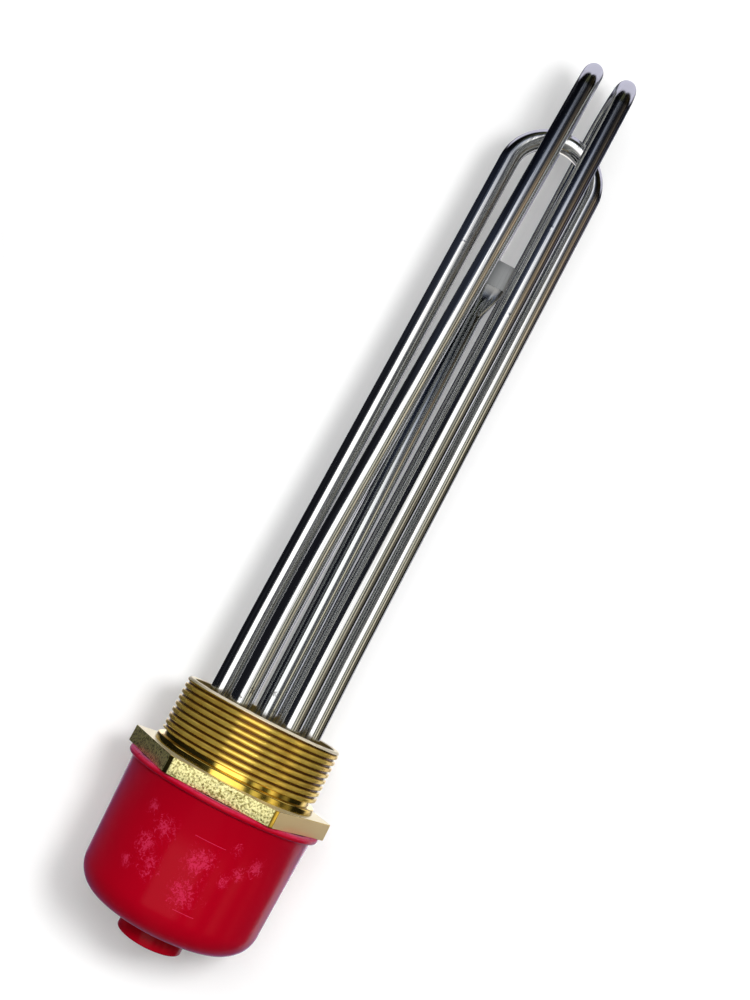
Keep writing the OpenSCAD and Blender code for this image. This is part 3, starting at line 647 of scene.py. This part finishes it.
class HEATER_OT_pocket(bpy.types.Operator):
    """Makes the sensor pocket, a tube pinched flat at its end"""

    bl_idname = "heater.pocket"
    bl_label = "Sensor pocket"

    def execute(self, context):
        cfg = context.scene.heater_elements
        steel = drawn_stainless("pinched_stainless", "dcdede", 0.12, stains=[((0, -4, 31), 5), ((2, -4, 25), 4)], pressed=204.5)
        sides, r, core = 128, 4 * MM, 3.2 * MM
        clear_selection()
        bpy.ops.mesh.primitive_circle_add(vertices=sides, radius=core, location=(0, 0, 12 * MM))
        tube = context.object
        bpy.ops.object.transform_apply(location=True, rotation=True, scale=True)
        edit_all()
        extrude(0, 0, -8 * MM)
        extrude(0, 0, 0)
        bpy.ops.transform.resize(value=(r / core, r / core, 1), center_override=(0, 0, 4 * MM))
        heights = [4.0, 189.0]
        heights += [189.0 + 15.2 * k / 24 for k in range(1, 25)] + [204.5, 205.0, 208.0, 212.0, 214.7, 215.0]
        for z0, z1 in zip(heights, heights[1:]):
            extrude(0, 0, (z1 - z0) * MM)
        bpy.ops.mesh.edge_face_add()
        bpy.ops.object.mode_set(mode="OBJECT")
        for v in tube.data.vertices:
            z = v.co.z / MM
            if z > 189.01:
                v.co.x, v.co.y = self.squeezed(math.atan2(v.co.y, v.co.x), z)
        edit_all()
        bpy.ops.mesh.normals_make_consistent(inside=False)
        bpy.ops.object.mode_set(mode="OBJECT")
        smooth(tube, 28)
        hand_over(tube, "pocket_tube", "plug", steel, ["sensor_pocket"])
        return {"FINISHED"}

    def squeezed(self, angle, z):
        """Outline of the tube at height z, between its round and its pinched end."""
        t = min(1.0, (z - 189.0) / 15.2)
        ease = t * t * (3 - 2 * t)
        wide = 4.0 + 2.2 * ease
        thick = 4.0 + (1.3 - 4.0) * (1 - (1 - t) ** 2) if z < 204.4 else 0.85
        power = 2 + (5.0 * ease)
        c, s = math.cos(angle), math.sin(angle)
        x = wide * math.copysign(abs(c) ** (2 / power), c) + 0.5 * ease
        y = thick * math.copysign(abs(s) ** (2 / power), s)
        # two shallow flutes where the sides fold in
        if z < 204.4:
            y *= 1 - 0.22 * math.sin(math.pi * t) * math.exp(-((abs(x - 0.5 * ease) - wide * 0.45) / (wide * 0.2)) ** 2)
        edge = 0.96 if z > 214.9 else 1.0
        return x * edge * MM, y * edge * MM


# ---------------------------------------------------------------- plug


class HEATER_OT_plug(bpy.types.Operator):
    """Turns the plug with its helical thread and adds the forged hexagon"""

    bl_idname = "heater.plug"
    bl_label = "Screw plug"

    def execute(self, context):
        cfg = context.scene.heater_plug
        brass = turned_brass("turned_brass", cfg.brass)
        cast = forged_brass("forged_brass", cfg.cast)
        faced = plain_with_grain("faced_brass", "fff2cc", 0.6, 0.3, 0.5, 0.5)
        neck = turned_brass("polished_brass", cfg.brass, 1.0, 0.11, 0.05)
        milled = plain_with_grain("milled_brass", "f0d49c", 0.45, 0.42, 0.5, 0.2)
        body = self.turned_body(cfg)
        thread = self.thread(cfg)
        hexagon = self.hexagon(cfg)
        inner = plain_with_grain("recess_brass", "b49c5c", 0.85, 0.4, 0.5, 0.3)
        for obj, mats in ((body, [brass, faced, neck, inner]), (thread, [brass]), (hexagon, [cast, neck, faced, milled])):
            obj.data.materials.clear()
            for mat in mats:
                obj.data.materials.append(mat)
        for face in hexagon.data.polygons:
            # the flats keep their forged skin; the end faces and the corners are turned
            turn = math.degrees(math.atan2(face.normal.y, face.normal.x)) + 1.8
            off = abs((turn + 60) % 60 - 30)
            face.material_index = 2 if face.normal.z > 0.9 else 0 if abs(face.normal.z) < 0.3 and off < 20 else 1
            if face.material_index == 0 and face.normal.x > 0.5 and face.normal.y < 0:
                face.material_index = 3
        for face in body.data.polygons:
            # the chamfer and end of the rim are rubbed pale
            if face.center.z > cfg.rim_height - 0.8 * MM and face.center.xy.length > 27.6 * MM:
                face.material_index = 1
            elif face.center.z < 4.25 * MM and face.center.xy.length > 27.6 * MM:
                face.material_index = 2
            elif face.center.xy.length < 27.6 * MM:
                face.material_index = 3
        smooth(body, 30)
        smooth(thread, 40)
        smooth(hexagon, 30)
        clear_selection()
        for obj in (thread, hexagon, body):
            obj.select_set(True)
        context.view_layer.objects.active = body
        bpy.ops.object.join()
        hand_over(body, "plug_body", "plug", None, ["screw_plug"])
        dress(["braze_rings"], plain_with_grain("silver_braze", "b9ad86", 1, 0.35, 0.5, 0.6))
        return {"FINISHED"}

    def turned_body(self, cfg):
        """Everything that is round, but for the thread: rim, recess, web, chamber, spigot, collar and undercut."""
        rim, r = cfg.rim_height, cfg.thread_diameter / 2
        wall_in, floor, web = r - 2.3 * MM, 20.2 * MM, 12.2 * MM
        points = [(0.0002 * MM, floor), (wall_in - 0.6 * MM, floor)]
        points += arc(wall_in - 0.6 * MM, floor + 0.6 * MM, 0.6 * MM, -90, 0, 5)[1:]
        points += [(wall_in, rim - 0.25 * MM), (wall_in + 0.25 * MM, rim), (r - 0.62 * MM, rim)]
        points += arc(r - 0.66 * MM, rim - 0.1 * MM, 0.1 * MM, 90, 50, 3)
        points += [(r - 0.06 * MM, rim - 0.6 * MM), (r, rim - 0.68 * MM), (r, rim - 0.8 * MM), (r - 0.9 * MM, rim - 0.9 * MM)]
        points += [(r - 1.05 * MM, 4.6 * MM), (r - 1.05 * MM, 4.15 * MM), (28 * MM, 3.75 * MM), (28 * MM, 2.5 * MM)]
        points += arc(28.3 * MM, 2.5 * MM, 0.3 * MM, 180, 270, 4)
        points += arc(29.75 * MM, 1.5 * MM, 0.7 * MM, 90, 0, 8)
        points += [(30.45 * MM, 0.25 * MM), (30.5 * MM, -0.1 * MM), (30.5 * MM, -3 * MM)]
        points += [(30.8 * MM, -5.7 * MM), (30.8 * MM, -14 * MM), (30 * MM, -14.8 * MM), (25.5 * MM, -14.8 * MM),
                   (25 * MM, -14.3 * MM), (25 * MM, web), (0.0002 * MM, web)]
        return turn_profile(points, 192)

    def thread(self, cfg):
        """The pipe thread as a true right-hand helix: one pitch of its form, screwed round the axis and cut off flat."""
        r, pitch, low = cfg.thread_diameter / 2, cfg.pitch, 1.596 * MM
        # share of the pitch and depth in mm: narrow root, flanks at 27.5 degrees, broad crest that is slightly crowned
        half = [(0, 1.0), (0.05, 0.985), (0.085, 0.88), (0.235, 0.22), (0.275, 0.1), (0.34, 0.045), (0.42, 0.012), (0.5, 0)]
        form = half + [(1 - share, depth) for share, depth in half[-2::-1]]
        band = draw_profile([(r - depth * MM, low + share * pitch) for share, depth in form])
        bpy.ops.object.mode_set(mode="OBJECT")
        screw = band.modifiers.new("Screw", "SCREW")
        screw.axis, screw.angle, screw.screw_offset, screw.iterations = "Z", math.tau, pitch, 10
        screw.steps = screw.render_steps = 144
        screw.use_merge_vertices, screw.merge_threshold = True, 1e-6
        clear_selection()
        band.select_set(True)
        bpy.context.view_layer.objects.active = band
        bpy.ops.object.modifier_apply(modifier="Screw")
        edit_all()
        bpy.ops.mesh.remove_doubles(threshold=2e-6)
        for height, way in ((cfg.rim_height - 0.75 * MM, 1), (4.2 * MM, -1)):
            bpy.ops.mesh.select_all(action="SELECT")
            bpy.ops.mesh.bisect(plane_co=(0, 0, height), plane_no=(0, 0, way), clear_outer=True)
        bpy.ops.mesh.select_all(action="SELECT")
        bpy.ops.mesh.normals_make_consistent(inside=False)
        bpy.ops.object.mode_set(mode="OBJECT")
        face = max(band.data.polygons, key=lambda p: p.area)
        if face.normal.x * face.center.x + face.normal.y * face.center.y < 0:
            edit_all()
            bpy.ops.mesh.flip_normals()
            bpy.ops.object.mode_set(mode="OBJECT")
        return band

    def hexagon(self, cfg):
        """The forged hexagon with its turned-off corners and softened edges."""
        across, thick, corner = cfg.across_flats, 5.8 * MM, 37.96 * MM
        clear_selection()
        bpy.ops.mesh.primitive_cylinder_add(vertices=6, radius=across / math.sqrt(3), depth=thick,
                                            location=(0, 0, -thick / 2), rotation=(0, 0, math.radians(30 - 1.8)))
        obj = bpy.context.object
        bpy.ops.object.transform_apply(location=True, rotation=True, scale=True)
        edit_all()
        for k in range(6):
            angle = math.radians(60 * k - 1.8)
            way = Vector((math.cos(angle), math.sin(angle), 0))
            bpy.ops.mesh.select_all(action="SELECT")
            bpy.ops.mesh.bisect(plane_co=way * corner, plane_no=way, clear_outer=True, use_fill=True)
        bpy.ops.object.mode_set(mode="OBJECT")
        bevel = obj.modifiers.new("Edges", "BEVEL")
        bevel.width, bevel.segments, bevel.limit_method, bevel.angle_limit = 0.3 * MM, 3, "ANGLE", math.radians(20)
        bpy.ops.object.modifier_apply(modifier="Edges")
        return obj


# ---------------------------------------------------------------- cap


class HEATER_OT_cap(bpy.types.Operator):
    """Moulds the red cap with its lip and boss, and dresses gasket and grommet"""

    bl_idname = "heater.cap"
    bl_label = "Terminal cap"

    def execute(self, context):
        cfg = context.scene.heater_cap
        lip, top, end, boss = cfg.lip_diameter / 2, -5.8 * MM, -52.7 * MM, -60.3 * MM
        points = [(33.7 * MM, top - 1.5 * MM), (33.7 * MM, top), (lip - 0.7 * MM, top)]
        points += arc(lip - 0.7 * MM, top - 0.7 * MM, 0.7 * MM, 90, 0, 5)[1:]
        points += arc(lip - 0.7 * MM, top - 1.2 * MM, 0.7 * MM, 0, -90, 6)
        points += [(34.6 * MM, top - 1.95 * MM), (34.3 * MM, top - 2.3 * MM), (33.4 * MM, -25 * MM)]
        points += arc(32.6 * MM - 10 * MM, end + 10 * MM, 10 * MM, 0, -90, 24)
        points += arc(12.4 * MM, end - 0.5 * MM, 0.5 * MM, 90, 180, 4)
        points += [(11.9 * MM, end - 5 * MM)]
        points += arc(11.9 * MM - 0.8 * MM, boss + 0.8 * MM, 0.8 * MM, 0, -90, 6)
        points += [(7.5 * MM, boss), (7.5 * MM, end + 2.4 * MM), (22 * MM, end + 2.4 * MM)]
        points += arc(30.2 * MM - 7.6 * MM, end + 10 * MM, 7.6 * MM, -90, 0, 8)
        points += [(31.05 * MM, -17.2 * MM), (31.05 * MM, top - 1.5 * MM), (33.7 * MM, top - 1.5 * MM)]
        cap = turn_profile(points, 192)
        smooth(cap, 40)
        hand_over(cap, "red_cap", "cap", moulded_red("moulded_red", cfg.red, cfg.scuff), ["terminal_cap"])
        dress(["cap_gasket", "cable_grommet"], plain_with_grain("black_rubber", "26262a", 0, 0.55, 0.15, 0.5))
        return {"FINISHED"}


# ---------------------------------------------------------------- terminals


class HEATER_OT_terminals(bpy.types.Operator):
    """Dresses the pins, beads, nuts, washers, star link and earth screw"""

    bl_idname = "heater.terminals"
    bl_label = "Terminals"

    def execute(self, context):
        plated = plain_with_grain("zinc_plate", "c4c6c8", 1, 0.3, 0.3, 0.2)
        yellow = plain_with_grain("plain_brass", "cfa751", 1, 0.3, 0.3, 0.2)
        dress([f"pin_{k}" for k in range(1, 7)] + [f"washer_{k}" for k in range(1, 7)] + ["earth_washer"], plated)
        dress([f"{n}_nut_{k}" for n in ("lock", "clamp") for k in range(1, 7)] + ["star_link", "earth_screw"], yellow)
        dress([f"bead_{k}" for k in range(1, 7)], plain_with_grain("glazed_ceramic", "efe9da", 0, 0.25, 0.6, 0.1))
        return {"FINISHED"}


# ---------------------------------------------------------------- panel and registration


class HEATER_PT_panel(bpy.types.Panel):
    """Lists the heater's pieces and their sizes"""

    bl_label = "Immersion heater"
    bl_idname = "HEATER_PT_panel"
    bl_space_type = "VIEW_3D"
    bl_region_type = "UI"
    bl_category = "Heater"

    def draw(self, context):
        for group, operators in GROUPS.items():
            box = self.layout.box()
            settings = getattr(context.scene, group)
            for key in settings.__annotations__:
                box.prop(settings, key)
            for name in operators:
                box.operator(f"heater.{name}")


SETTINGS = {"heater_stage": StageSettings, "heater_elements": ElementSettings,
            "heater_plug": PlugSettings, "heater_cap": CapSettings}
GROUPS = {"heater_stage": ["stage"], "heater_elements": ["elements", "pocket"],
          "heater_plug": ["plug"], "heater_cap": ["cap", "terminals"]}
CLASSES = (StageSettings, ElementSettings, PlugSettings, CapSettings, HEATER_OT_stage, HEATER_OT_elements,
           HEATER_OT_pocket, HEATER_OT_plug, HEATER_OT_cap, HEATER_OT_terminals, HEATER_PT_panel)


def register():
    for cls in CLASSES:
        bpy.utils.register_class(cls)
    for key, cls in SETTINGS.items():
        setattr(bpy.types.Scene, key, bpy.props.PointerProperty(type=cls))


def unregister():
    for key in SETTINGS:
        delattr(bpy.types.Scene, key)
    for cls in reversed(CLASSES):
        bpy.utils.unregister_class(cls)


def main():
    register()
    bpy.ops.heater.stage()
    bpy.ops.heater.elements()
    bpy.ops.heater.pocket()
    bpy.ops.heater.plug()
    bpy.ops.heater.cap()
    bpy.ops.heater.terminals()
    clear_selection()


if __name__ == "__main__":
    main()
